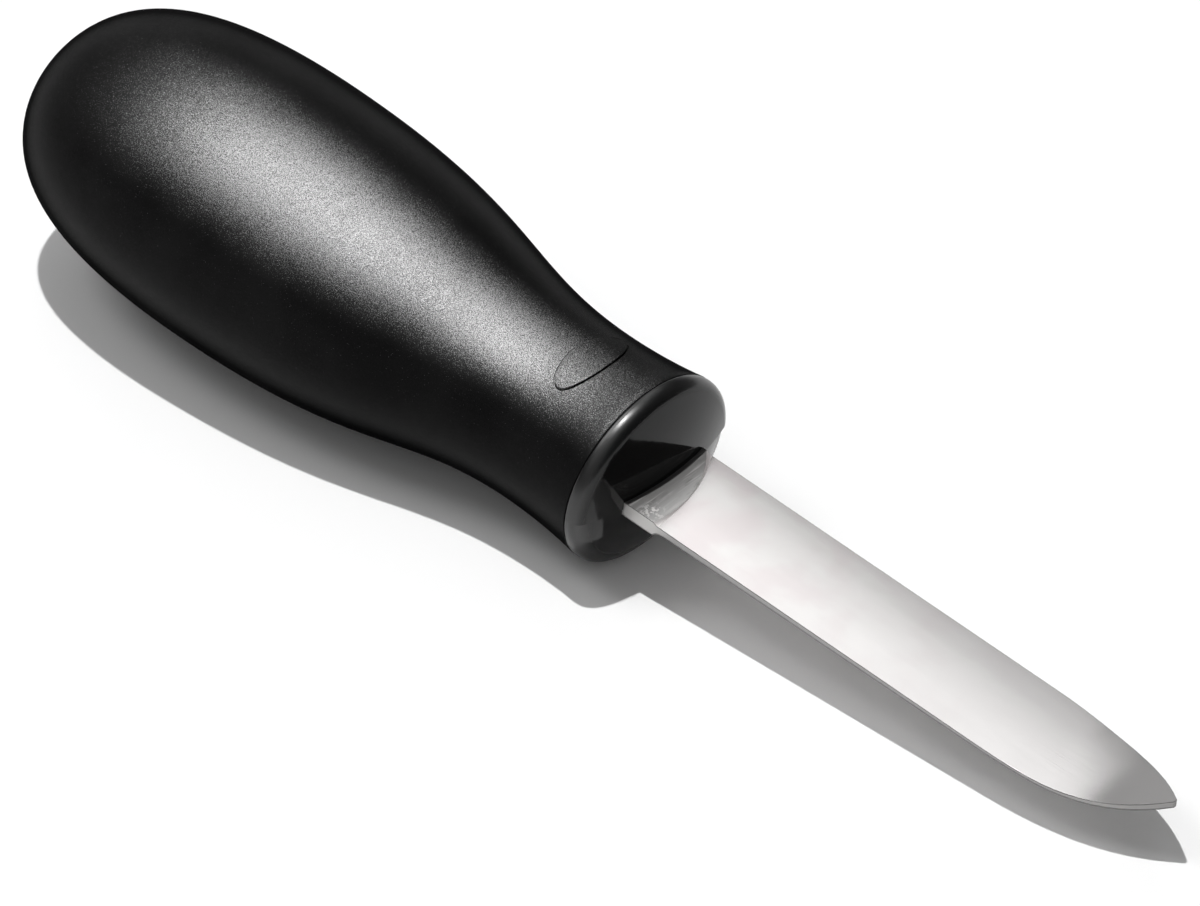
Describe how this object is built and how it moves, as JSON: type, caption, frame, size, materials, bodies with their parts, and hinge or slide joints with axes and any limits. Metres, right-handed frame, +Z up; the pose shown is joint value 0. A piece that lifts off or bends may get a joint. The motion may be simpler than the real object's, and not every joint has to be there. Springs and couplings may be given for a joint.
{
  "type": "oyster knife",
  "caption": "Oyster knife with a short stiff blade, an upswept blunt point, a glossy bolster and a soft pear-shaped grip, lying as it rests on a table.",
  "frame": {"origin": "centre of the knife's footprint, on the flat surface that it lies on", "axes": "+X along the knife from the butt towards the blade's point, +Z up, square to the surface it lies on, +Y across the blade. The handle's own axis dips about five degrees towards +X, as the bulb and the bolster both touch the surface."},
  "size_m": [0.1648, 0.0353, 0.0331],
  "materials": {
    "blade_steel": "ground and polished stainless steel, duller flat at the root",
    "bolster_plastic": "glossy black hard plastic",
    "grip_rubber": "black soft thermoplastic rubber with a fine spark-eroded grain"
  },
  "bodies": {
    "root": {"blade": "blade_steel", "handle_core_upper": "bolster_plastic", "handle_core_lower": "bolster_plastic", "soft_grip": "grip_rubber"}
  },
  "joints": []
}
